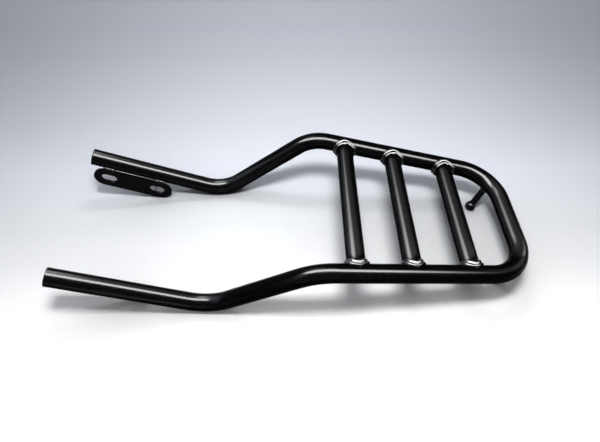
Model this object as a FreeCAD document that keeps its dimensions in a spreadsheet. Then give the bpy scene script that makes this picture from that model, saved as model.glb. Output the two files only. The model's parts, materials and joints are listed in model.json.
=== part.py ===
import FreeCAD, Part
import math
import os

import Sketcher
from FreeCAD import Placement, Rotation, Vector

# A luggage rack for a motorcycle. One bent tube makes both side arms, both
# risers and the rim of the platform. Three cross tubes are coped onto the rim
# and welded all round. A slotted plate under each arm bolts the rack on, and a
# ball peg under each rear corner takes the hook of a luggage strap.
#
# Millimetres. +X runs to the rear, +Y to the right-hand side, +Z up. The rack
# lies as it rests on a floor: on its two lower bends and on the two pegs.

SIZES = [
    ("tube_diameter", 22, "main tube, outside"),
    ("tube_wall", 2, "main tube, wall"),
    ("tube_end_round", 0.8, "rounding of the outer edge at each open end"),
    ("bend_radius", 52, "every bend of the main tube, at its centreline"),
    ("arm_spread", 192, "between the centrelines of the two arms"),
    ("arm_reach", 172, "arm end to the corner of the lower bend, along X"),
    ("arm_rise", 68.5, "arm end above the corner of the lower bend"),
    ("bend_spread", 214, "between the corners of the two upper bends"),
    ("riser_reach", 128, "lower to upper bend corner, along X"),
    ("riser_rise", 88.6, "lower to upper bend corner, along Z"),
    ("rear_spread", 165, "between the two rear corners"),
    ("platform_reach", 253, "upper bend corner to the rear run, along X"),
    ("platform_fall", 47.2, "upper bend corner down to the rear run"),
    ("cross_slimmer", 0.4, "cross tube diameter less than the main tube's by this"),
    ("cross_wall", 2, "cross tube, wall"),
    ("cross_front_offset", 44.5, "front cross tube behind the upper bend corner"),
    ("cross_rear_offset", 72, "rear cross tube in front of the rear run"),
    ("cross_middle_share", 0.48, "middle cross tube, share of the way from front to rear"),
    ("weld_foot_width", 3.8, "foot of a cross tube weld, out from the cross tube"),
    ("weld_foot_height", 2.2, "foot of a cross tube weld, up from the rim"),
    ("weld_neck_width", 1.9, "neck of a cross tube weld, out from the cross tube"),
    ("weld_neck_height", 4.8, "neck of a cross tube weld, up from the rim"),
    ("weld_start", 0.8, "weld's front edge from the crown line of the rim"),
    ("plate_length", 107, "mounting plate, end to end"),
    ("plate_width", 31, "mounting plate, across"),
    ("plate_thickness", 3, "mounting plate"),
    ("plate_at", 58.4, "middle of the plate from the arm's end, along the arm"),
    ("plate_proud", 1.1, "inner face of the plate inside the flank of the arm"),
    ("plate_gap", 0.6, "gap between the arm and the upper edge of the plate"),
    ("slot_length", 21, "bolt slot, end to end"),
    ("slot_width", 13.2, "bolt slot, across"),
    ("slot_spacing", 66, "between the middles of the two slots"),
    ("bridge_width", 1.2, "thin bridge that splits the rear slot"),
    ("bridge_at", 1.7, "bridge in front of the middle of the rear slot"),
    ("plate_weld_length", 17, "each weld between arm and plate"),
    ("plate_weld_radius", 2.8, "each weld between arm and plate"),
    ("plate_weld_inset", 19.5, "middle of each weld from the plate's end"),
    ("peg_diameter", 8.6, "rod of the strap peg"),
    ("peg_ball_diameter", 14.4, "head of the strap peg"),
    ("peg_tip", 2.6, "flat tip below the middle of the ball"),
    ("peg_turn", 33, "peg's seat round the rear corner, degrees from the rear run"),
    ("peg_forward", 14, "ball in front of the peg's seat"),
    ("peg_inward", 3.9, "ball inside the peg's seat"),
    ("peg_weld_width", 1.8, "weld ring round the rod, out from the rod"),
    ("peg_weld_height", 3.5, "weld ring round the rod, down from the tube"),
    ("plug_length", 15, "end plug"),
    ("plug_recess", 1, "end plug inside the tube's open end"),
    ("plug_wall", 1.6, "end plug, skirt and face"),
    ("plug_rib_height", 0.8, "ribs of the end plug, out from its skirt"),
    ("plug_rib_width", 1.4, "ribs of the end plug, along the tube"),
    ("plug_clearance", 0, "ribs of the end plug inside the tube's bore"),
]

RIB_COUNT = 3
SIDES = {"left": -1, "right": 1}

X_AXIS = Vector(1, 0, 0)
Y_AXIS = Vector(0, 1, 0)
Z_AXIS = Vector(0, 0, 1)


# The sheet of sizes

def make_sheet(doc):
    sheet = doc.addObject("Spreadsheet::Sheet", "sizes")
    for row, (alias, value, meaning) in enumerate(SIZES, start=1):
        sheet.set(f"A{row}", meaning)
        sheet.set(f"B{row}", str(value))
        sheet.setAlias(f"B{row}", alias)
    doc.recompute()
    return sheet


# Corners and bends of the main tube

def unit(vector):
    return Vector(vector).normalize()


def bend(before, corner, after, radius):
    """Start, middle, end and centre of the arc that rounds a corner."""
    back = unit(before - corner)
    ahead = unit(after - corner)
    half_angle = back.getAngle(ahead) / 2
    reach = radius / math.tan(half_angle)
    inward = unit(back + ahead)
    centre = corner + inward * (radius / math.sin(half_angle))
    middle = centre - inward * radius
    return corner + back * reach, middle, corner + ahead * reach, centre


def side_corners(size, side, lift=0.0, shift=0.0):
    """Arm end, lower bend, upper bend and rear corner of one side."""
    low_x = shift
    high_x = low_x + size.riser_reach
    high_z = lift + size.riser_rise
    return [
        Vector(low_x - size.arm_reach, side * size.arm_spread / 2, lift + size.arm_rise),
        Vector(low_x, side * size.arm_spread / 2, lift),
        Vector(high_x, side * size.bend_spread / 2, high_z),
        Vector(high_x + size.platform_reach, side * size.rear_spread / 2,
               high_z - size.platform_fall),
    ]


class Layout:
    """Where everything lies, worked out from the sheet."""

    def __init__(self, size):
        self.size = size
        self.radius = size.tube_diameter / 2
        self.cross_radius = (size.tube_diameter - size.cross_slimmer) / 2
        self.lift = self.radius - self.lowest_of_lower_bend()
        self.shift = 0.0
        self.shift = -(self.front_edge() + self.rear_edge()) / 2

    def lowest_of_lower_bend(self):
        end, low, high, _ = side_corners(self.size, 1)
        centre = bend(end, low, high, self.size.bend_radius)[3]
        across = unit((end - low).cross(high - low))
        down = unit(across * across.z - Z_AXIS)
        return (centre + down * self.size.bend_radius).z

    def corners(self, side):
        return side_corners(self.size, side, self.lift, self.shift)

    def arm_direction(self):
        end, low, _, _ = self.corners(1)
        return unit(low - end)

    def arm_slope(self):
        return math.degrees(math.asin(-self.arm_direction().z))

    def arm_normal(self):
        """Square to the arm, upwards, in the arm's upright plane."""
        along = self.arm_direction()
        return Vector(-along.z, 0, along.x)

    def plate_outer(self):
        """Distance of the plate's outer face inside the arm's centreline."""
        return self.radius + self.size.plate_proud - self.size.plate_thickness

    def plate_edge_drop(self):
        """Upper edge of the plate below the arm's centreline, square to it."""
        return math.sqrt((self.radius + self.size.plate_gap) ** 2 - self.plate_outer() ** 2)

    def plate_centre(self, side):
        end = self.corners(side)[0]
        drop = self.plate_edge_drop() + self.size.plate_width / 2
        return end + self.arm_direction() * self.size.plate_at - self.arm_normal() * drop

    def front_edge(self):
        end = self.corners(1)[0]
        tube = end.x - self.radius * self.arm_normal().x
        straight = (self.size.plate_length - self.size.plate_width) / 2
        round_centre = self.plate_centre(1) - self.arm_direction() * straight
        return min(tube, round_centre.x - self.size.plate_width / 2)

    def rear_edge(self):
        return self.corners(1)[3].x + self.radius

    def cross_places(self):
        """How far behind the upper bend corner each cross tube lies."""
        front = self.size.cross_front_offset
        rear = self.size.platform_reach - self.size.cross_rear_offset
        middle = front + (rear - front) * self.size.cross_middle_share
        return {"front": front, "middle": middle, "rear": rear}

    def crossing(self, side, place):
        """Where a cross tube's centreline meets the rim's."""
        high, rear = self.corners(side)[2:]
        return high + (rear - high) * (place / self.size.platform_reach)

    def rim_direction(self, side):
        high, rear = self.corners(side)[2:]
        return unit(rear - high)

    def peg_seat(self, side):
        """Point of the corner bend's centreline that the peg runs to."""
        high, rear = self.corners(side)[2:]
        across = self.corners(-side)[3]
        start, _, end, centre = bend(high, rear, across, self.size.bend_radius)
        outward = unit(end - centre)
        along = unit(start - centre)
        along = unit(along - outward * along.dot(outward))
        turn = math.radians(self.size.peg_turn)
        arm = outward * math.cos(turn) + along * math.sin(turn)
        return centre + arm * self.size.bend_radius

    def peg_ball(self, side):
        """Middle of the ball, as high as lets the tip's rim touch the floor."""
        size = self.size
        seat = self.peg_seat(side)
        ball_radius = size.peg_ball_diameter / 2
        tip_radius = math.sqrt(ball_radius ** 2 - size.peg_tip ** 2)
        sideways = math.hypot(size.peg_forward, size.peg_inward)
        height = ball_radius
        for _ in range(20):
            lean = math.atan2(sideways, seat.z - height)
            height = size.peg_tip * math.cos(lean) + tip_radius * math.sin(lean)
        return Vector(seat.x - size.peg_forward, seat.y - side * size.peg_inward, height)


class Sizes:
    """The sheet's values under their aliases."""

    def __init__(self, sheet):
        for alias, _, _ in SIZES:
            setattr(self, alias, float(sheet.get(alias)))


# Main tube

def main_path(doc, layout):
    """Centreline of the main tube, straight runs joined by tangent arcs."""
    left = layout.corners(SIDES["left"])
    right = layout.corners(SIDES["right"])
    corners = left + right[::-1]
    edges = []
    here = corners[0]
    for before, corner, after in zip(corners, corners[1:], corners[2:]):
        start, middle, end, _ = bend(before, corner, after, layout.size.bend_radius)
        edges.append(Part.LineSegment(here, start).toShape())
        edges.append(Part.Arc(start, middle, end).toShape())
        here = end
    edges.append(Part.LineSegment(here, corners[-1]).toShape())
    path = doc.addObject("Part::Feature", "main_tube_path")
    path.Shape = Part.Wire(edges)
    return path


def sweep_round(doc, name, path, radius_formula, layout):
    """A round bar along the path, its radius given by a formula.

    The circle starts on the outer upper side of the arm, so that the seam of
    the swept face runs clear of all that is welded to the inside and below.
    """
    along = layout.arm_direction()
    outward = unit(Vector(0, SIDES["left"], 0) + layout.arm_normal() / 2)
    circle = doc.addObject("Part::Circle", f"{name}_section")
    circle.setExpression("Radius", radius_formula)
    circle.Placement = Placement(layout.corners(SIDES["left"])[0],
                                 Rotation(outward, along.cross(outward), along, "ZXY"))
    sweep = doc.addObject("Part::Sweep", name)
    sweep.Sections = [circle]
    sweep.Spine = (path, [f"Edge{i}" for i in range(1, len(path.Shape.Edges) + 1)])
    sweep.Solid = True
    sweep.Frenet = True
    return sweep


def cut(doc, name, base, tool):
    result = doc.addObject("Part::Cut", name)
    result.Base = base
    result.Tool = tool
    return result


def make_main_tube(doc, layout):
    """The bent tube and, for the pieces that are cut to it, its outside."""
    path = main_path(doc, layout)
    outside = sweep_round(doc, "main_tube_outside", path, "sizes.tube_diameter / 2", layout)
    bore = sweep_round(doc, "main_tube_bore", path,
                       "sizes.tube_diameter / 2 - sizes.tube_wall", layout)
    hollow = cut(doc, "main_tube_hollow", outside, bore)
    doc.recompute()
    tube = doc.addObject("Part::Fillet", "main_tube")
    tube.Base = hollow
    size = layout.size
    tube.Edges = [(number, size.tube_end_round, size.tube_end_round)
                  for number in end_edges(hollow.Shape, layout)]
    return tube, outside


def end_edges(shape, layout):
    """Numbers of the outer edges at the two open ends of the tube."""
    ends = [layout.corners(side)[0] for side in SIDES.values()]
    found = []
    for number, edge in enumerate(shape.Edges, start=1):
        middle = edge.CenterOfMass
        near_end = min(middle.distanceToPoint(end) for end in ends) < layout.size.tube_wall / 4
        long_enough = edge.Length > math.pi * (layout.size.tube_diameter - layout.size.tube_wall)
        if near_end and long_enough:
            found.append(number)
    return found


# Cross tubes and their welds

def make_cross_tube(doc, name, place, layout, outside):
    """A straight tube whose ends are coped to the rim."""
    half_width = layout.crossing(1, place).y
    start = layout.crossing(SIDES["left"], place)
    bars = []
    for part, wall in (("outside", ""), ("bore", " - sizes.cross_wall")):
        bar = doc.addObject("Part::Cylinder", f"{name}_{part}")
        bar.setExpression("Radius", f"(sizes.tube_diameter - sizes.cross_slimmer) / 2{wall}")
        bar.Height = 2 * half_width
        bar.Placement = Placement(start, Rotation(Z_AXIS, Y_AXIS))
        bars.append(bar)
    hollow = cut(doc, f"{name}_hollow", *bars)
    return cut(doc, name, hollow, outside)


def saddle_step(rim, cross, up, layout, width, height, start):
    """Weld metal within a width of the cross tube and a height of the rim.

    Seen along up, its front edge is a half round that starts just past the
    crown line of the rim.
    """
    reach = layout.cross_radius + width
    rim_sheath = Part.makeCylinder(layout.radius + height, 4 * reach, rim * (-2 * reach), rim)
    cross_sheath = Part.makeCylinder(reach, 4 * reach, Vector(), cross)
    depth = 4 * layout.radius
    middle = cross * (start + reach)
    nose = Part.makeCylinder(reach, depth, middle - up * (depth / 2), up)
    along = cross.cross(up)
    box = Part.makeBox(2 * reach, 2 * reach, depth)
    box.Placement = Placement(middle - along * reach - up * (depth / 2),
                              Rotation(along, cross, up, "ZXY"))
    return rim_sheath.common(cross_sheath).common(nose.fuse(box))


def saddle_weld(layout):
    """The weld round a cross tube's left end, foot and neck in one.

    The point where the two centrelines meet is the origin.
    """
    size = layout.size
    rim = layout.rim_direction(SIDES["left"])
    cross = Y_AXIS
    up = unit(rim.cross(cross))
    foot = saddle_step(rim, cross, up, layout, size.weld_foot_width,
                       size.weld_foot_height, size.weld_start)
    neck = saddle_step(rim, cross, up, layout, size.weld_neck_width, size.weld_neck_height,
                       size.weld_start + size.weld_foot_width - size.weld_neck_width)
    reach = 4 * layout.radius
    rim_bar = Part.makeCylinder(layout.radius, 2 * reach, rim * -reach, rim)
    cross_bar = Part.makeCylinder(layout.cross_radius, reach, Vector(), cross)
    return foot.fuse(neck).removeSplitter().cut([rim_bar, cross_bar]).Solids[0]


def make_cross_weld(doc, name, side, place, layout, left_shape):
    """One weld of a cross tube, the right one a mirror image of the left one."""
    weld = doc.addObject("Part::Feature", name)
    weld.Shape = left_shape if side < 0 else left_shape.mirror(Vector(), Y_AXIS)
    weld.Placement = Placement(layout.crossing(side, place), Rotation())
    return weld


# Mounting plates

def attached_sketch(body, name, role):
    """A sketch on one of the body's own origin planes."""
    sketch = body.newObject("Sketcher::SketchObject", name)
    plane = next(item for item in body.Origin.OriginFeatures if item.Role == role)
    sketch.AttachmentSupport = [(plane, "")]
    sketch.MapMode = "FlatFace"
    return sketch


def draw_stadium(sketch, middle_x, length, width):
    """Two straight sides and two half rounds, centred on the X axis."""
    radius = width / 2
    left = middle_x - length / 2 + radius
    right = middle_x + length / 2 - radius
    quarter = math.pi / 2
    top = sketch.addGeometry(Part.LineSegment(Vector(left, radius), Vector(right, radius)))
    nose = sketch.addGeometry(Part.ArcOfCircle(
        Part.Circle(Vector(right, 0), Z_AXIS, radius), -quarter, quarter))
    bottom = sketch.addGeometry(Part.LineSegment(Vector(right, -radius), Vector(left, -radius)))
    tail = sketch.addGeometry(Part.ArcOfCircle(
        Part.Circle(Vector(left, 0), Z_AXIS, radius), quarter, 3 * quarter))
    for pair in ((top, 2, nose, 2), (nose, 1, bottom, 1), (bottom, 2, tail, 2), (tail, 1, top, 1)):
        sketch.addConstraint(Sketcher.Constraint("Tangent", *pair))
    sketch.addConstraint(Sketcher.Constraint("PointOnObject", nose, 3, -1))
    sketch.addConstraint(Sketcher.Constraint("PointOnObject", tail, 3, -1))
    sketch.addConstraint(Sketcher.Constraint("Equal", nose, tail))
    return nose, tail


def bind(sketch, constraint, formula):
    """Adds a dimension and binds it to the sheet."""
    index = sketch.addConstraint(constraint)
    sketch.setExpression(f"Constraints[{index}]", formula)


def make_plate(doc, name, side, layout):
    """A flat stadium with a slot near each end, the rear one with a bridge."""
    size = layout.size
    body = doc.addObject("PartDesign::Body", name)

    outline = attached_sketch(body, f"{name}_outline", "XZ_Plane")
    nose, tail = draw_stadium(outline, 0, size.plate_length, size.plate_width)
    straight = size.plate_length - size.plate_width
    bind(outline, Sketcher.Constraint("Radius", nose, size.plate_width / 2),
         "sizes.plate_width / 2")
    bind(outline, Sketcher.Constraint("DistanceX", tail, 3, nose, 3, straight),
         "sizes.plate_length - sizes.plate_width")
    bind(outline, Sketcher.Constraint("DistanceX", -1, 1, nose, 3, straight / 2),
         "(sizes.plate_length - sizes.plate_width) / 2")
    pad = body.newObject("PartDesign::Pad", f"{name}_blank")
    pad.Profile = outline
    pad.setExpression("Length", "sizes.plate_thickness")

    slot = attached_sketch(body, f"{name}_slot", "XZ_Plane")
    nose, tail = draw_stadium(slot, -size.slot_spacing / 2, size.slot_length, size.slot_width)
    straight = size.slot_length - size.slot_width
    bind(slot, Sketcher.Constraint("Radius", nose, size.slot_width / 2), "sizes.slot_width / 2")
    bind(slot, Sketcher.Constraint("DistanceX", tail, 3, nose, 3, straight),
         "sizes.slot_length - sizes.slot_width")
    bind(slot, Sketcher.Constraint("DistanceX", nose, 3, -1, 1,
                                   (size.slot_spacing - straight) / 2),
         "(sizes.slot_spacing - sizes.slot_length + sizes.slot_width) / 2")
    pocket = body.newObject("PartDesign::Pocket", f"{name}_slot_cut")
    pocket.Profile = slot
    pocket.Reversed = True
    pocket.Type = "ThroughAll"
    pattern = body.newObject("PartDesign::LinearPattern", f"{name}_slot_pair")
    pattern.Originals = [pocket]
    pattern.Direction = (slot, ["H_Axis"])
    pattern.Occurrences = 2
    pattern.setExpression("Length", "sizes.slot_spacing")
    body.Tip = pattern

    bridge = attached_sketch(body, f"{name}_bridge", "XZ_Plane")
    draw_bridge(bridge, size)
    rib = body.newObject("PartDesign::Pad", f"{name}_bridge_rib")
    rib.Profile = bridge
    rib.setExpression("Length", "sizes.plate_thickness")
    body.Tip = rib

    inner = layout.size.arm_spread / 2 - layout.radius - size.plate_proud
    centre = layout.plate_centre(side)
    centre.y = inner + size.plate_thickness if side > 0 else -inner
    body.Placement = Placement(centre, Rotation(Y_AXIS, layout.arm_slope()))
    return body


def draw_bridge(sketch, size):
    """A narrow upright across the rear slot, ending inside the plate."""
    middle = size.slot_spacing / 2 - size.bridge_at
    half_width = size.bridge_width / 2
    half_height = size.slot_width / 2 + size.bridge_width
    low_left = Vector(middle - half_width, -half_height)
    low_right = Vector(middle + half_width, -half_height)
    high_right = Vector(middle + half_width, half_height)
    high_left = Vector(middle - half_width, half_height)
    ring = [low_left, low_right, high_right, high_left]
    sides = [sketch.addGeometry(Part.LineSegment(a, b)) for a, b in zip(ring, ring[1:] + ring[:1])]
    bottom, right, top, left = sides
    for first, second in zip(sides, sides[1:] + sides[:1]):
        sketch.addConstraint(Sketcher.Constraint("Coincident", first, 2, second, 1))
    for line in (bottom, top):
        sketch.addConstraint(Sketcher.Constraint("Horizontal", line))
    for line in (left, right):
        sketch.addConstraint(Sketcher.Constraint("Vertical", line))
    bind(sketch, Sketcher.Constraint("DistanceX", bottom, 1, bottom, 2, size.bridge_width),
         "sizes.bridge_width")
    bind(sketch, Sketcher.Constraint("DistanceY", right, 1, right, 2, 2 * half_height),
         "sizes.slot_width + 2 * sizes.bridge_width")
    bind(sketch, Sketcher.Constraint("DistanceY", bottom, 1, -1, 1, half_height),
         "sizes.slot_width / 2 + sizes.bridge_width")
    bind(sketch, Sketcher.Constraint("DistanceX", -1, 1, bottom, 1, middle - half_width),
         "sizes.slot_spacing / 2 - sizes.bridge_at - sizes.bridge_width / 2")


def make_plate_weld(doc, name, side, offset, layout, tools):
    """A short bead with round ends, in the notch between arm and plate."""
    size = layout.size
    along = layout.arm_direction()
    end = layout.corners(side)[0]
    notch = Vector(0, -side * layout.plate_outer(), 0) - layout.arm_normal() * layout.plate_edge_drop()
    middle = end + along * (size.plate_at + offset) + notch
    straight = size.plate_weld_length - 2 * size.plate_weld_radius
    bar = doc.addObject("Part::Cylinder", f"{name}_bar")
    bar.setExpression("Radius", "sizes.plate_weld_radius")
    bar.setExpression("Height", "sizes.plate_weld_length - 2 * sizes.plate_weld_radius")
    bar.Placement = Placement(middle - along * (straight / 2), Rotation(Z_AXIS, along))
    rounds = []
    for number, way in enumerate((-1, 1), start=1):
        ball = doc.addObject("Part::Sphere", f"{name}_end_{number}")
        ball.setExpression("Radius", "sizes.plate_weld_radius")
        ball.Placement = Placement(middle + along * (way * straight / 2), Rotation(Z_AXIS, along))
        rounds.append(ball)
    bead = doc.addObject("Part::MultiFuse", f"{name}_bead")
    bead.Shapes = [bar] + rounds
    bead.Refine = True
    for tool in tools[:-1]:
        bead = cut(doc, f"{name}_off_{tool.Name}", bead, tool)
    return cut(doc, name, bead, tools[-1])


# Strap pegs

def make_peg(doc, name, side, layout, outside):
    """A rod with a ball head, turned in one piece and coped to the tube."""
    size = layout.size
    seat = layout.peg_seat(side)
    ball = layout.peg_ball(side)
    length = (seat - ball).Length
    body = doc.addObject("PartDesign::Body", f"{name}_turned")
    sketch = attached_sketch(body, f"{name}_profile", "XZ_Plane")
    draw_peg(sketch, size, length)
    turned = body.newObject("PartDesign::Revolution", f"{name}_round")
    turned.Profile = sketch
    turned.ReferenceAxis = (sketch, ["V_Axis"])
    turned.Angle = 360
    body.Placement = Placement(ball, Rotation(Z_AXIS, seat - ball))
    return cut(doc, name, body, outside), body


def draw_peg(sketch, size, length):
    """Half section of the peg, the ball's middle at the origin."""
    ball_radius = size.peg_ball_diameter / 2
    rod_radius = size.peg_diameter / 2
    tip_radius = math.sqrt(ball_radius ** 2 - size.peg_tip ** 2)
    neck = math.sqrt(ball_radius ** 2 - rod_radius ** 2)
    tip = sketch.addGeometry(Part.LineSegment(Vector(0, -size.peg_tip),
                                              Vector(tip_radius, -size.peg_tip)))
    ball = sketch.addGeometry(Part.ArcOfCircle(
        Part.Circle(Vector(), Z_AXIS, ball_radius),
        math.atan2(-size.peg_tip, tip_radius), math.atan2(neck, rod_radius)))
    rod = sketch.addGeometry(Part.LineSegment(Vector(rod_radius, neck), Vector(rod_radius, length)))
    top = sketch.addGeometry(Part.LineSegment(Vector(rod_radius, length), Vector(0, length)))
    axis = sketch.addGeometry(Part.LineSegment(Vector(0, length), Vector(0, -size.peg_tip)))
    ring = (tip, ball, rod, top, axis)
    for first, second in zip(ring, ring[1:] + ring[:1]):
        sketch.addConstraint(Sketcher.Constraint("Coincident", first, 2, second, 1))
    sketch.addConstraint(Sketcher.Constraint("Coincident", ball, 3, -1, 1))
    sketch.addConstraint(Sketcher.Constraint("PointOnObject", axis, 1, -2))
    for line in (rod, axis):
        sketch.addConstraint(Sketcher.Constraint("Vertical", line))
    for line in (tip, top):
        sketch.addConstraint(Sketcher.Constraint("Horizontal", line))
    bind(sketch, Sketcher.Constraint("Radius", ball, ball_radius), "sizes.peg_ball_diameter / 2")
    bind(sketch, Sketcher.Constraint("DistanceY", tip, 1, -1, 1, size.peg_tip), "sizes.peg_tip")
    bind(sketch, Sketcher.Constraint("DistanceX", top, 2, top, 1, rod_radius),
         "sizes.peg_diameter / 2")
    sketch.addConstraint(Sketcher.Constraint("DistanceY", -1, 1, top, 2, length))


def make_peg_weld(doc, name, side, layout, tools):
    """A tapered ring where the rod runs into the tube."""
    size = layout.size
    seat = layout.peg_seat(side)
    towards = unit(layout.peg_ball(side) - seat)
    length = layout.radius + size.peg_weld_height
    cone = doc.addObject("Part::Cone", f"{name}_cone")
    cone.setExpression("Radius1", "sizes.peg_diameter / 2 + sizes.peg_weld_width"
                       " * (1 + sizes.tube_diameter / 2 / sizes.peg_weld_height)")
    cone.setExpression("Radius2", "sizes.peg_diameter / 2")
    cone.setExpression("Height", "sizes.tube_diameter / 2 + sizes.peg_weld_height")
    cone.Placement = Placement(seat, Rotation(Z_AXIS, towards))
    sleeve = doc.addObject("Part::Cylinder", f"{name}_sleeve")
    sleeve.setExpression("Radius", "sizes.peg_diameter / 2 + sizes.peg_weld_width")
    sleeve.Height = length
    sleeve.Placement = Placement(seat, Rotation(Z_AXIS, towards))
    ring = doc.addObject("Part::Common", f"{name}_ring")
    ring.Base = cone
    ring.Tool = sleeve
    off_rod = cut(doc, f"{name}_off_rod", ring, tools[0])
    return cut(doc, name, off_rod, tools[1])


# End plugs

def make_plug(doc, name, side, layout):
    """A ribbed cup pressed into the tube's open end, its face outwards."""
    size = layout.size
    bore = "sizes.tube_diameter / 2 - sizes.tube_wall - sizes.plug_clearance"
    pieces = []
    skirt = doc.addObject("Part::Cylinder", f"{name}_skirt")
    skirt.setExpression("Radius", f"{bore} - sizes.plug_rib_height")
    skirt.setExpression("Height", "sizes.plug_length")
    pieces.append(skirt)
    pitch = size.plug_length / (RIB_COUNT + 1)
    for number in range(1, RIB_COUNT + 1):
        rib = doc.addObject("Part::Cylinder", f"{name}_rib_{number}")
        rib.setExpression("Radius", bore)
        rib.setExpression("Height", "sizes.plug_rib_width")
        rib.Placement = Placement(Vector(0, 0, pitch * number - size.plug_rib_width / 2), Rotation())
        pieces.append(rib)
    solid = doc.addObject("Part::MultiFuse", f"{name}_solid")
    solid.Shapes = pieces
    hollow = doc.addObject("Part::Cylinder", f"{name}_hollow")
    hollow.setExpression("Radius", f"{bore} - sizes.plug_rib_height - sizes.plug_wall")
    hollow.setExpression("Height", "sizes.plug_length")
    hollow.Placement = Placement(Vector(0, 0, size.plug_wall), Rotation())
    plug = cut(doc, name, solid, hollow)
    end = layout.corners(side)[0]
    along = layout.arm_direction()
    plug.Placement = Placement(end + along * size.plug_recess, Rotation(Z_AXIS, along))
    return plug


# The whole rack

def make_rack(doc):
    sheet = make_sheet(doc)
    layout = Layout(Sizes(sheet))
    nodes = []
    tube, outside = make_main_tube(doc, layout)
    nodes.append(tube)
    left_weld = saddle_weld(layout)
    for place_name, place in layout.cross_places().items():
        nodes.append(make_cross_tube(doc, f"cross_tube_{place_name}", place, layout, outside))
        for side_name, side in SIDES.items():
            nodes.append(make_cross_weld(doc, f"cross_weld_{place_name}_{side_name}",
                                         side, place, layout, left_weld))
    for side_name, side in SIDES.items():
        plate = make_plate(doc, f"mounting_plate_{side_name}", side, layout)
        nodes.append(plate)
        for end_name, way in (("front", -1), ("rear", 1)):
            offset = way * (layout.size.plate_length / 2 - layout.size.plate_weld_inset)
            nodes.append(make_plate_weld(doc, f"plate_weld_{end_name}_{side_name}", side,
                                         offset, layout, [outside, plate]))
        peg, turned = make_peg(doc, f"strap_peg_{side_name}", side, layout, outside)
        nodes.append(peg)
        nodes.append(make_peg_weld(doc, f"peg_weld_{side_name}", side, layout,
                                   [turned, outside]))
        nodes.append(make_plug(doc, f"end_plug_{side_name}", side, layout))
    for node in nodes:
        node.Label = node.Name
    doc.recompute()
    return nodes


def check(doc, nodes):
    """Stops before anything is written if a feature or a solid is bad."""
    for item in doc.Objects:
        bad = [word for word in item.State if word in ("Invalid", "Error")]
        if bad:
            raise RuntimeError(f"{item.Name} is {bad}")
    for node in nodes:
        shape = node.Shape
        if shape.isNull() or not shape.isValid() or len(shape.Solids) != 1:
            raise RuntimeError(f"{node.Name} is not one sound solid")


def main():
    doc = FreeCAD.newDocument("luggage_rack")
    nodes = make_rack(doc)
    check(doc, nodes)
    os.makedirs("parts", exist_ok=True)
    for node in nodes:
        node.Shape.exportStep(f"parts/{node.Label}.step")
        box = node.Shape.BoundBox
        print(f"{node.Label}: {node.Shape.Volume:.0f} mm3, "
              f"x {box.XMin:.1f} to {box.XMax:.1f}, y {box.YMin:.1f} to {box.YMax:.1f}, "
              f"z {box.ZMin:.1f} to {box.ZMax:.1f}")


main()
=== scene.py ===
import itertools
import json
import math
import random

import bpy
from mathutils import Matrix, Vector


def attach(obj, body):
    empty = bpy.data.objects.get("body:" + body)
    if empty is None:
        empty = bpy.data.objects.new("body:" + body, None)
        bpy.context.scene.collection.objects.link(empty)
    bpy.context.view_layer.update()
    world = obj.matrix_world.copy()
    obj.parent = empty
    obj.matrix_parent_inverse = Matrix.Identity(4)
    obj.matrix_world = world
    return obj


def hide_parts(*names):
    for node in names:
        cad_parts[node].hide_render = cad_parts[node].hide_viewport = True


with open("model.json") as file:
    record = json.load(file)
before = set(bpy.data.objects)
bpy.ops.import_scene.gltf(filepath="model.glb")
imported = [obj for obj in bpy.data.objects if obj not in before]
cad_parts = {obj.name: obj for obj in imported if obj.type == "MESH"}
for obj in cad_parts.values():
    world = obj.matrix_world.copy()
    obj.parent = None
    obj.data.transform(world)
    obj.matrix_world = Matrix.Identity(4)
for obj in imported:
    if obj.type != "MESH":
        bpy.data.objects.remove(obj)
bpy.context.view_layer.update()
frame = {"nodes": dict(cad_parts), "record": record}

# The camera: sensor and lens in millimetres, place in metres, turn in radians.
SENSOR_WIDTH = 36.0
FOCAL_LENGTH = 27.0
CAMERA_PLACE = (0.00079, -0.36054, 0.50185)
CAMERA_TURN = (0.67102, 0.00087, -0.00985)
NEAREST_SEEN = 0.02
FARTHEST_SEEN = 20

# Area lights: place, target, both sizes, power, and the turn about the light's own axis.
# These show in reflections alone, and draw the bright lines on the tubes.
GLOSS_LIGHTS = {
    "strip": ((0.25, -0.060, 0.70), (0.25, -0.060, 0.0), (1.6, 0.26), 12.5, -0.10),
    "sheen": ((-0.28, 0.46, 0.75), (0.08, 0.0, 0.06), (0.40, 0.50), 1.8, 0.0),
    "wide_sheen": ((0.1, 0.56, 0.76), (0.1, 0.0, 0.06), (2.0, 0.45), 0.65, 0.0),
    "right": ((1.0, 0.15, 0.45), (0.1, -0.05, 0.08), (0.50, 0.50), 3.5, 0.0),
}
# These light the floor, throw the shadows, and don't show in reflections.
FLOOR_LIGHTS = {
    "front": ((0.02, -0.185, 0.80), (0.02, -0.185, 0.0), (0.22, 0.13), 6.3, 0.0),
    "back": ((0.02, 0.32, 0.66), (0.02, 0.2, 0.0), (0.30, 0.08), 1.2, 0.0),
    "fill": ((-0.25, -0.8, 2.0), (-0.15, -0.1, 0.0), (2.0, 1.0), 6.0, 0.0),
}
# The world: the direction of its pale side, and its colours by how near they are to it.
WORLD_PALE_SIDE = (-0.85, 0.5, 0.15)
WORLD_COLOURS = [(0.35, (0.02, 0.021, 0.024)), (0.95, (0.45, 0.48, 0.54))]

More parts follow.
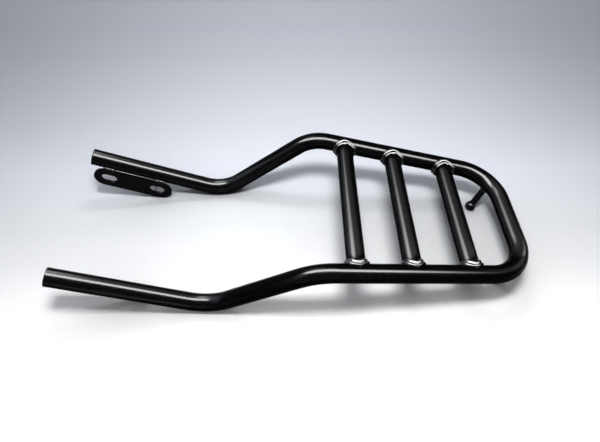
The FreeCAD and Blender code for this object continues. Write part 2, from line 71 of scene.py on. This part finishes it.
# The floor. Its colour, which is darker towards the back and sides as painted shade of the
# falling light, and its glow follow the distance from a far point in front, in a space that is
# squashed more from left to right than from front to back.
FLOOR_HALF_SIDE = 12.0
FLOOR_CENTRE = (0.05, -0.9, 0.0)
FLOOR_SQUASH = (0.18, 0.63, 0.0)
FLOOR_COLOURS_AND_SHADE = [
    (0.518, (0.95, 0.955, 0.96)),
    (0.589, (0.827, 0.84, 0.861)),
    (0.658, (0.812, 0.838, 0.912)),
    (0.727, (0.733, 0.751, 0.798)),
    (0.797, (0.708, 0.730, 0.782)),
    (0.867, (0.716, 0.747, 0.814)),
    (0.936, (0.784, 0.818, 0.904)),
    (1.0, (0.91, 0.953, 1.0)),
]
# The front part glows up to GLOW_EDGE, and less the farther it is from the rack.
GLOW_EDGE = (0.45, 0.56)
GLOW_STRENGTH = 0.2
GLOW_FADES_OVER = (0.45, 1.6)
# Painted shade: the card's colour is darkened by occlusion close to the rack.
SHADE_REACH = 0.16
SHADE_POWER = 0.75
SHADE_SAMPLES = 16

# Gloss. A fall is a pair of values of Layer Weight's Facing: where the gloss starts to fall,
# and where it has fallen. Distances across are from the middle plane, as they would be at
# X = 0: towards the rear the rails close in by RAIL_TAPER per metre.
WELD_FALL = (0.30, 0.55)
INNER_FALL = (0.18, 0.50)
SIDE_FALL = (0.08, 0.21)
RAIL_TAPER = 0.097
INNER_TO_SIDE = (0.086, 0.097)
# Painted highlight: the gloss is raised at the cross tubes' left ends so that their highlight is
# brighter there.
PAINTED_HIGHLIGHT_BOOST = 1.6
BOOST_ENDS_ACROSS = (0.099, 0.104)
BOOST_FADES_TO_RIGHT = (-0.085, -0.03)
BOOST_STARTS_BEHIND = (0.02, 0.04)
# Painted shade: the gloss is cut on undersides so that they stay dark.
UNDERSIDE = (0.25, 0.65)
UNDERSIDE_GLOSS = 0.06

# The frame that the welds follow, in metres: centrelines of the right half. Side 1 is the
# right and -1 the left.
SIDES = {"left": -1, "right": 1}
TUBE_RADIUS = 0.011
CROSS_RADIUS = 0.0108
BEND_RADIUS = 0.052
ARM_END = (-0.27953, 0.096, 0.07286)
LOWER_BEND = (-0.10753, 0.096, 0.00436)
UPPER_BEND = (0.02047, 0.107, 0.09296)
REAR_CORNER = (0.27347, 0.0825, 0.04576)
CROSSINGS = {
    "front": (0.064972, 0.102691, 0.084663),
    "middle": (0.130492, 0.096346, 0.072439),
    "rear": (0.201472, 0.089472, 0.059197),
}
PEG_SEAT = (0.265225, 0.063536, 0.047303)
PEG_BALL = (0.251225, 0.059636, 0.0046255)
PEG_RADIUS = 0.0043
# The plate's middle along the arm from its end, its outer face inside the arm's centreline,
# its upper edge below that line, and its beads to the front and rear of its middle.
PLATE_AT = 0.0584
PLATE_OUTER = 0.0091
PLATE_EDGE_DROP = 0.007194
PLATE_BEADS = {"front": -0.034, "rear": 0.034}
PLATE_BEAD_LENGTH = 0.017
PLATE_BEAD_RADIUS = 0.0028
PLATE_BEAD_FACES = (0.6, 0.2)  # how far inward and how far down

# Ring-shaped welds. Foot, neck and crown are pairs: at the sides, and on top and below.
CROSS_WELDS = {
    "left": {"foot": (0.0044, 0.0014), "neck": (0.0050, 0.0086), "crown": (0.0034, 0.0030),
             "ridge": 0.0013, "blunt": 0.0040, "lean": 0.4},
    "right": {"foot": (0.0052, 0.0014), "neck": (0.0050, 0.0078), "crown": (0.0052, 0.0034),
              "ridge": 0.0013, "blunt": 0.0045, "lean": -0.4},
}
PEG_WELD = {"foot": (0.0017, 0.0017), "neck": (0.0034, 0.0034), "crown": (0.0022, 0.0022),
            "ridge": 0.0003, "blunt": 0.0, "lean": 0.0}
# How far the edges are sunk into the tubes, and how deep the closed underside lies.
SUNK = 0.0003
ROOT_DEPTH = 0.0012
# Exponents: how sharp the ridges are, and how short the part with the smallest foot is.
RIDGE_SHARPNESS = 0.9
FOOT_NARROWING = 6
# Uneven edges: how many waves round the joint, and their height.
FOOT_WAVES = ((3, 0.03), (7, 0.02))
NECK_WAVES = ((4, 0.04), (9, 0.02))
# Lumps and ripples on the ridges: the same, and how far they lean across the bead.
LUMPS = ((5, 0.07, 2.4), (11, 0.04, -3.0))
RIPPLES = (34, 0.012, 1.6)
# Ripples and swellings along a straight bead: length, height, and the ripples' lean.
BEAD_RIPPLES = (0.0019, 0.045, 1.1)
BEAD_SWELLS = (0.0065, 0.05)
MOST_SWELLING = 1.08
# The search for the tube's surface: how far it looks, in tube radii, and its steps.
SADDLE_SEARCH = 2.5
SADDLE_HALVINGS = 40
FIRST_SEED = 2


# Nodes

class Tree:
    """A few calls that keep a node tree short to write."""

    def __init__(self, tree):
        self.tree = tree

    def add(self, kind, **values):
        node = self.tree.nodes.new(kind)
        for name, value in values.items():
            setattr(node, name, value)
        return node

    def link(self, source, target):
        self.tree.links.new(source, target)

    def set_input(self, socket, value):
        if isinstance(value, (int, float)):
            socket.default_value = value
        else:
            self.link(value, socket)

    def place(self):
        return self.add("ShaderNodeTexCoord").outputs["Object"]

    def noise(self, scale, detail=3.0, roughness=0.5):
        node = self.add("ShaderNodeTexNoise")
        node.inputs["Scale"].default_value = scale
        node.inputs["Detail"].default_value = detail
        node.inputs["Roughness"].default_value = roughness
        self.link(self.place(), node.inputs["Vector"])
        return node.outputs["Fac"]

    def spread(self, value, given, wanted, smooth=False):
        """Map the range given onto the range wanted, and stop at its ends."""
        node = self.add("ShaderNodeMapRange")
        if smooth:
            node.interpolation_type = "SMOOTHSTEP"
        self.set_input(node.inputs["Value"], value)
        for name, source in zip(("From Min", "From Max", "To Min", "To Max"), (*given, *wanted)):
            self.set_input(node.inputs[name], source)
        return node.outputs["Result"]

    def math(self, operation, first, second):
        node = self.add("ShaderNodeMath", operation=operation)
        self.set_input(node.inputs[0], first)
        self.set_input(node.inputs[1], second)
        return node.outputs["Value"]

    def vector_math(self, operation, first, second=None):
        """The node for a vector and, where the operation takes one, a constant vector."""
        node = self.add("ShaderNodeVectorMath", operation=operation)
        self.link(first, node.inputs[0])
        if second is not None:
            node.inputs[1].default_value = second
        return node

    def ramp(self, value, stops):
        node = self.add("ShaderNodeValToRGB")
        elements = node.color_ramp.elements
        while len(elements) < len(stops):
            elements.new(0.5)
        for element, (place, colour) in zip(elements, stops):
            element.position = place
            element.color = (*colour, 1)
        self.link(value, node.inputs["Fac"])
        return node.outputs["Color"]

    def bump(self, height, distance, strength):
        node = self.add("ShaderNodeBump")
        node.inputs["Distance"].default_value = distance
        node.inputs["Strength"].default_value = strength
        self.link(height, node.inputs["Height"])
        return node.outputs["Normal"]


def new_material(name):
    material = bpy.data.materials.new(name)
    material.use_nodes = True
    shader = next(n for n in material.node_tree.nodes if n.type == "BSDF_PRINCIPLED")
    return material, Tree(material.node_tree), shader


# Camera, light and floor

def add_camera():
    data = bpy.data.cameras.new("camera")
    data.sensor_fit = "HORIZONTAL"
    data.sensor_width = SENSOR_WIDTH
    data.lens = FOCAL_LENGTH
    data.clip_start = NEAREST_SEEN
    data.clip_end = FARTHEST_SEEN
    camera = bpy.data.objects.new("camera", data)
    camera.location = CAMERA_PLACE
    camera.rotation_euler = CAMERA_TURN
    bpy.context.scene.collection.objects.link(camera)
    bpy.context.scene.camera = camera


def add_area_light(name, place, target, sizes, power, turn, gloss):
    """A light for reflections alone where gloss is true, and otherwise for all but those."""
    data = bpy.data.lights.new(name, "AREA")
    data.shape = "RECTANGLE"
    data.size, data.size_y = sizes
    data.energy = power
    light = bpy.data.objects.new(name, data)
    light.location = place
    aim = Vector(target) - Vector(place)
    light.rotation_euler = aim.to_track_quat("-Z", "Y").to_euler()
    light.rotation_euler.rotate_axis("Z", turn)
    light.visible_glossy = gloss
    light.visible_diffuse = not gloss
    bpy.context.scene.collection.objects.link(light)


def add_world():
    """Dim all round, with a paler quarter low on the left and behind."""
    world = bpy.data.worlds.new("world")
    world.use_nodes = True
    tree = Tree(world.node_tree)
    background = next(n for n in world.node_tree.nodes if n.type == "BACKGROUND")
    direction = tree.add("ShaderNodeTexCoord").outputs["Generated"]
    pale_side = Vector(WORLD_PALE_SIDE).normalized()
    facing = tree.vector_math("DOT_PRODUCT", direction, pale_side)
    colour = tree.ramp(facing.outputs["Value"], WORLD_COLOURS)
    tree.link(colour, background.inputs["Color"])
    bpy.context.scene.world = world


def floor_material():
    """Pale card, white in front; its bluish grey to the back and its darkening by the rack are
    painted shade.

    The front is lit past white in the picture, so it glows a little for the camera and in
    reflections. The glow fades away from the rack.
    """
    material, tree, shader = new_material("floor_card")
    shader.inputs["Roughness"].default_value = 0.8
    shader.inputs["Specular IOR Level"].default_value = 0.1
    from_centre = tree.vector_math("SUBTRACT", tree.place(), FLOOR_CENTRE)
    squashed = tree.vector_math("MULTIPLY", from_centre.outputs["Vector"], FLOOR_SQUASH)
    reach = tree.vector_math("LENGTH", squashed.outputs["Vector"]).outputs["Value"]
    # The card's pale colour, with the light's fall to the back and sides painted in as shade.
    colour = tree.ramp(reach, FLOOR_COLOURS_AND_SHADE)
    # Painted shade: the card's colour is multiplied by its occlusion near the rack.
    painted_shade_occlusion = tree.add("ShaderNodeAmbientOcclusion", samples=SHADE_SAMPLES)
    painted_shade_occlusion.inputs["Distance"].default_value = SHADE_REACH
    shade = tree.math("POWER", painted_shade_occlusion.outputs["AO"], SHADE_POWER)
    shaded = tree.vector_math("SCALE", colour)
    tree.link(shade, shaded.inputs["Scale"])
    tree.link(shaded.outputs["Vector"], shader.inputs["Base Color"])
    rays = tree.add("ShaderNodeLightPath")
    seen = tree.math("ADD", rays.outputs["Is Camera Ray"], rays.outputs["Is Glossy Ray"])
    seen = tree.math("ADD", seen, rays.outputs["Is Transmission Ray"])
    glow = tree.spread(reach, GLOW_EDGE, (GLOW_STRENGTH, 0.0), smooth=True)
    from_rack = tree.vector_math("LENGTH", tree.place()).outputs["Value"]
    fade = tree.spread(from_rack, GLOW_FADES_OVER, (1.0, 0.0), smooth=True)
    glow = tree.math("MULTIPLY", glow, fade)
    shader.inputs["Emission Color"].default_value = (1, 1, 1, 1)
    tree.link(tree.math("MULTIPLY", seen, glow), shader.inputs["Emission Strength"])
    return material


def add_floor():
    mesh = bpy.data.meshes.new("floor")
    corners = [(FLOOR_HALF_SIDE * x, FLOOR_HALF_SIDE * y, 0)
               for x, y in ((-1, -1), (1, -1), (1, 1), (-1, 1))]
    mesh.from_pydata(corners, [], [(0, 1, 2, 3)])
    mesh.materials.append(floor_material())
    floor = bpy.data.objects.new("floor", mesh)
    bpy.context.scene.collection.objects.link(floor)


# Materials of the rack

def tube_gloss(tree):
    """Where the gloss of the tubes starts and ends to fall, and how much stronger it is.

    It falls later on the cross tubes and the rear run than on the sides, and it is raised at the
    cross tubes' left ends to paint a brighter highlight there.
    """
    parts = tree.add("ShaderNodeSeparateXYZ")
    tree.link(tree.place(), parts.inputs["Vector"])
    x = parts.outputs["X"]
    y = parts.outputs["Y"]
    across = tree.math("ABSOLUTE", y, 0.0)
    across = tree.math("ADD", across, tree.math("MULTIPLY", x, RAIL_TAPER))
    start, end = (tree.spread(across, INNER_TO_SIDE, fall, smooth=True)
                  for fall in zip(INNER_FALL, SIDE_FALL))
    off_rail = tree.spread(across, BOOST_ENDS_ACROSS, (PAINTED_HIGHLIGHT_BOOST, 1.0))
    on_left = tree.spread(y, BOOST_FADES_TO_RIGHT, (PAINTED_HIGHLIGHT_BOOST, 1.0), smooth=True)
    behind_bend = tree.spread(x, BOOST_STARTS_BEHIND, (1.0, PAINTED_HIGHLIGHT_BOOST))
    painted_highlight_boost = tree.math("MINIMUM", tree.math("MINIMUM", off_rail, on_left), behind_bend)
    return start, end, painted_highlight_boost


def falling_gloss(tree, shader, start, end, near, far):
    """Strong gloss where the surface is seen square on; the weaker gloss at a glance and
    underneath is painted shade.
    """
    facing = tree.add("ShaderNodeLayerWeight")
    facing.inputs["Blend"].default_value = 0.5
    level = tree.spread(facing.outputs["Facing"], (start, end), (near, far), smooth=True)
    normal = tree.add("ShaderNodeSeparateXYZ")
    tree.link(tree.add("ShaderNodeTexCoord").outputs["Normal"], normal.inputs["Vector"])
    share = tree.spread(normal.outputs["Z"], UNDERSIDE, (UNDERSIDE_GLOSS, 1.0), smooth=True)
    tree.link(tree.math("MULTIPLY", level, share), shader.inputs["Specular IOR Level"])


def paint_material():
    """Gloss black paint: orange peel, a little haze, faint patches."""
    material, tree, shader = new_material("gloss_black")
    patches = tree.noise(34.0, detail=4.0, roughness=0.6)
    colour = tree.ramp(patches, [
        (0.30, (0.0008, 0.0008, 0.0010)),
        (0.70, (0.0018, 0.0018, 0.0022)),
    ])
    tree.link(colour, shader.inputs["Base Color"])
    haze = tree.spread(tree.noise(60.0, detail=5.0, roughness=0.65), (0.3, 0.7), (0.17, 0.23))
    tree.link(haze, shader.inputs["Roughness"])
    start, end, painted_highlight_boost = tube_gloss(tree)
    falling_gloss(tree, shader, start, end, near=tree.math("MULTIPLY", painted_highlight_boost, 0.9), far=0.03)
    peel = tree.bump(tree.noise(420.0, detail=2.0), distance=0.00001, strength=0.5)
    tree.link(peel, shader.inputs["Normal"])
    return material


def weld_material():
    """The same paint, thicker and wetter over weld metal."""
    material, tree, shader = new_material("gloss_black_weld")
    colour = tree.ramp(tree.noise(150.0), [
        (0.35, (0.0012, 0.0012, 0.0014)),
        (0.65, (0.0028, 0.0028, 0.0033)),
    ])
    tree.link(colour, shader.inputs["Base Color"])
    sheen = tree.spread(tree.noise(240.0), (0.3, 0.7), (0.06, 0.12))
    tree.link(sheen, shader.inputs["Roughness"])
    falling_gloss(tree, shader, *WELD_FALL, near=1.0, far=0.10)
    shader.inputs["IOR"].default_value = 1.8
    shader.inputs["Coat Weight"].default_value = 0.35
    shader.inputs["Coat Roughness"].default_value = 0.04
    spatter = tree.bump(tree.noise(500.0, detail=2.0), distance=0.00004, strength=0.25)
    tree.link(spatter, shader.inputs["Normal"])
    return material


def plastic_material():
    """Matte black moulded plastic with a fine grain."""
    material, tree, shader = new_material("black_plastic")
    colour = tree.ramp(tree.noise(180.0, detail=4.0), [
        (0.3, (0.010, 0.010, 0.010)),
        (0.7, (0.017, 0.017, 0.018)),
    ])
    tree.link(colour, shader.inputs["Base Color"])
    worn = tree.spread(tree.noise(90.0), (0.3, 0.7), (0.46, 0.62))
    tree.link(worn, shader.inputs["Roughness"])
    grain = tree.bump(tree.noise(2200.0, detail=2.0), distance=0.00005, strength=0.5)
    tree.link(grain, shader.inputs["Normal"])
    return material


# Centrelines of the main tube

def mirrored(point, side):
    return Vector((point[0], point[1] * side, point[2]))


class Run:
    """A straight run of the main tube: the nearest point of its centreline."""

    def __init__(self, start, end):
        self.start = start
        self.along = (end - start).normalized()

    def nearest(self, point):
        return self.start + self.along * (point - self.start).dot(self.along)


class Corner:
    """A bend of the main tube: the nearest point of its centreline."""

    def __init__(self, before, corner, after, radius):
        one = (before - corner).normalized()
        other = (after - corner).normalized()
        middle = (one + other).normalized()
        half = math.acos(max(-1.0, min(1.0, one.dot(other)))) / 2
        self.centre = corner + middle * (radius / math.sin(half))
        self.normal = one.cross(other).normalized()
        self.radius = radius

    def nearest(self, point):
        flat = point - self.centre
        flat -= self.normal * flat.dot(self.normal)
        return self.centre + flat.normalized() * self.radius


def outward_of(line, point):
    return (point - line.nearest(point)).normalized()


def press_to(line, radius, point):
    """The point of the tube of that radius round the line that is nearest to a point."""
    middle = line.nearest(point)
    return middle + (point - middle).normalized() * radius


# Welds

def grid_faces(rows, columns, wrap_rows=True):
    """The faces of a grid of points whose columns go round, and its rows where they wrap."""
    faces = []
    for i in range(rows if wrap_rows else rows - 1):
        for j in range(columns):
            a = i * columns + j
            b = i * columns + (j + 1) % columns
            c = ((i + 1) % rows) * columns + (j + 1) % columns
            d = ((i + 1) % rows) * columns + j
            faces.append((a, b, c, d))
    return faces


def random_phases(chance, number):
    return [chance.uniform(0, 2 * math.pi) for _ in range(number)]


def between(pair, share):
    return pair[0] + (pair[1] - pair[0]) * share


def unevenness(waves, phases, turn):
    """The share by which a bead is larger or smaller at the angle turn round the joint."""
    return sum(height * math.sin(number * turn + phase)
               for (number, height), phase in zip(waves, phases))


def saddle_points(line, middle, away, branch_radius, count):
    """Where a round branch that leaves along away meets the tube's surface."""
    first = Vector((0, 0, 1))
    first = (first - away * first.dot(away)).normalized()
    second = away.cross(first)
    result = []
    for k in range(count):
        turn = 2 * math.pi * k / count
        outward = first * math.cos(turn) + second * math.sin(turn)
        low = 0.0
        high = SADDLE_SEARCH * TUBE_RADIUS
        for _ in range(SADDLE_HALVINGS):
            guess = (low + high) / 2
            point = middle + outward * branch_radius + away * guess
            if (point - line.nearest(point)).length < TUBE_RADIUS:
                low = guess
            else:
                high = guess
        result.append((middle + outward * branch_radius + away * high, outward))
    return result


def weld_ring(line, middle, away, branch_radius, shape, seed, count=240, steps=30):
    """A bead round a saddle, of two ridges with faint ripples and uneven edges.

    The shape has the sizes of its foot, neck and crown, each at the sides and on top and
    below, and the height of its ridges. The bead keeps the distance blunt from the tube's
    centreline at the tips of the saddle, and its foot is smallest at the angle lean past
    them.
    """
    chance = random.Random(seed)
    foot_phases = random_phases(chance, len(FOOT_WAVES))
    neck_phases = random_phases(chance, len(NECK_WAVES))
    lump_phases = random_phases(chance, len(LUMPS))
    ripple_phase, = random_phases(chance, 1)
    ripple_number, ripple_height, ripple_lean = RIPPLES
    saddle = saddle_points(line, middle, away, branch_radius, count)
    reach = [(point - middle).dot(away) for point, _ in saddle]
    crest = 2 * math.pi * reach.index(min(reach)) / count
    saddle = [(point + away * ((far ** 4 + shape["blunt"] ** 4) ** 0.25 - far), outward)
              for (point, outward), far in zip(saddle, reach)]
    points = []
    for k in range(count):
        here, branch_out = saddle[k]
        tangent = (saddle[(k + 1) % count][0] - saddle[k - 1][0]).normalized()
        tube_out = outward_of(line, here)
        down = tangent.cross(tube_out)
        if down.dot(branch_out - away) < 0:
            down = -down
        up = tangent.cross(branch_out)
        if up.dot(away) < 0:
            up = -up
        turn = 2 * math.pi * k / count
        over = math.cos(turn - crest) ** 2
        over_foot = math.cos(turn - crest - shape["lean"]) ** FOOT_NARROWING
        foot = between(shape["foot"], over_foot) * (1 + unevenness(FOOT_WAVES, foot_phases, turn))
        neck = between(shape["neck"], over) * (1 + unevenness(NECK_WAVES, neck_phases, turn))
        start = press_to(line, TUBE_RADIUS - SUNK, here + down * foot)
        end = here + up * neck - branch_out * SUNK
        out = (tube_out + branch_out).normalized()
        control = here + out * between(shape["crown"], over)
        for j in range(steps):
            s = j / (steps - 1)
            point = start * (1 - s) ** 2 + control * (2 * s * (1 - s)) + end * s ** 2
            hump = abs(math.sin(2 * math.pi * s)) ** RIDGE_SHARPNESS
            lumps = sum((height * math.sin(number * turn + phase + lean * s)
                         for (number, height, lean), phase in zip(LUMPS, lump_phases)), 1.0)
            wave = ripple_number * turn + ripple_lean * math.cos(2 * math.pi * s) + ripple_phase
            ripple = ripple_height * math.sin(wave)
            points.append(point + out * shape["ridge"] * hump * (lumps + ripple))
        points.append(here - out * ROOT_DEPTH)
    return points, grid_faces(count, steps + 1)


def weld_bead(middle, along, out, length, radius, seed, count=90, steps=20):
    """A short bead with round ends and ripples across it."""
    ripple_phase, swell_phase = random_phases(random.Random(seed), 2)
    ripple_length, ripple_height, ripple_lean = BEAD_RIPPLES
    swell_length, swell_height = BEAD_SWELLS
    across = along.cross(out).normalized()
    half = length / 2 - radius
    points = []
    for k in range(count):
        place = -1 + 2 * (k + 0.5) / count
        x = place * (half + radius)
        over = max(0.0, abs(x) - half)
        around = math.sqrt(max(0.0, radius ** 2 - over ** 2))
        for j in range(steps):
            turn = 2 * math.pi * j / steps
            wave = 2 * math.pi * x / ripple_length + ripple_lean * math.cos(turn) + ripple_phase
            grow = 1 + ripple_height * math.sin(wave)
            grow += swell_height * math.sin(2 * math.pi * x / swell_length + swell_phase)
            direction = out * math.cos(turn) + across * math.sin(turn)
            points.append(middle + along * x + direction * around * min(grow, MOST_SWELLING))
    faces = grid_faces(count, steps, wrap_rows=False)
    faces.append(tuple(range(steps)))
    faces.append(tuple(range((count - 1) * steps, count * steps))[::-1])
    return points, faces


def side_welds(side_name, seeds):
    """The welds of one side: the node that each stands for, its points and its faces."""
    side = SIDES[side_name]
    inward = Vector((0, -side, 0))
    upper_bend = mirrored(UPPER_BEND, side)
    rear_corner = mirrored(REAR_CORNER, side)

    rail = Run(upper_bend, rear_corner)
    for place, crossing in CROSSINGS.items():
        ring = weld_ring(rail, mirrored(crossing, side), inward, CROSS_RADIUS,
                         CROSS_WELDS[side_name], next(seeds))
        yield f"cross_weld_{place}_{side_name}", *ring

    along = (Vector(LOWER_BEND) - Vector(ARM_END)).normalized()
    normal = Vector((-along.z, 0, along.x))
    notch = inward * PLATE_OUTER - normal * PLATE_EDGE_DROP
    faces_in, faces_down = PLATE_BEAD_FACES
    out = (inward * faces_in - normal * faces_down).normalized()
    for place, offset in PLATE_BEADS.items():
        middle = mirrored(ARM_END, side) + along * (PLATE_AT + offset) + notch
        bead = weld_bead(middle, along, out, PLATE_BEAD_LENGTH, PLATE_BEAD_RADIUS, next(seeds))
        yield f"plate_weld_{place}_{side_name}", *bead

    corner = Corner(upper_bend, rear_corner, mirrored(REAR_CORNER, -side), BEND_RADIUS)
    seat = mirrored(PEG_SEAT, side)
    away = (mirrored(PEG_BALL, side) - seat).normalized()
    ring = weld_ring(corner, seat, away, PEG_RADIUS, PEG_WELD, next(seeds), count=120, steps=18)
    yield f"peg_weld_{side_name}", *ring


def add_bead(node, points, faces, material):
    """The piece that takes the place of a node's plain solid weld."""
    name = f"{node}_bead"
    mesh = bpy.data.meshes.new(name)
    mesh.from_pydata([tuple(p) for p in points], [], faces)
    mesh.validate()
    mesh.polygons.foreach_set("use_smooth", [True] * len(mesh.polygons))
    mesh.materials.append(material)
    piece = bpy.data.objects.new(name, mesh)
    bpy.context.scene.collection.objects.link(piece)
    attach(piece, "root")
    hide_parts(node)


def add_welds(material):
    seeds = itertools.count(FIRST_SEED)
    for side_name in SIDES:
        for node, points, faces in side_welds(side_name, seeds):
            add_bead(node, points, faces, material)


add_camera()
add_floor()
add_world()
for name, values in GLOSS_LIGHTS.items():
    add_area_light(name, *values, gloss=True)
for name, values in FLOOR_LIGHTS.items():
    add_area_light(name, *values, gloss=False)
bpy.context.scene.view_settings.view_transform = "Standard"

finishes = {
    "gloss_black": paint_material(),
    "gloss_black_weld": weld_material(),
    "black_plastic": plastic_material(),
}
slots = {entry["node"]: entry["material_slot"] for entry in frame["record"]["subparts"]}
for name, node in frame["nodes"].items():
    for index in range(len(node.material_slots)):
        node.material_slots[index].material = finishes[slots[name]]
add_welds(finishes["gloss_black_weld"])
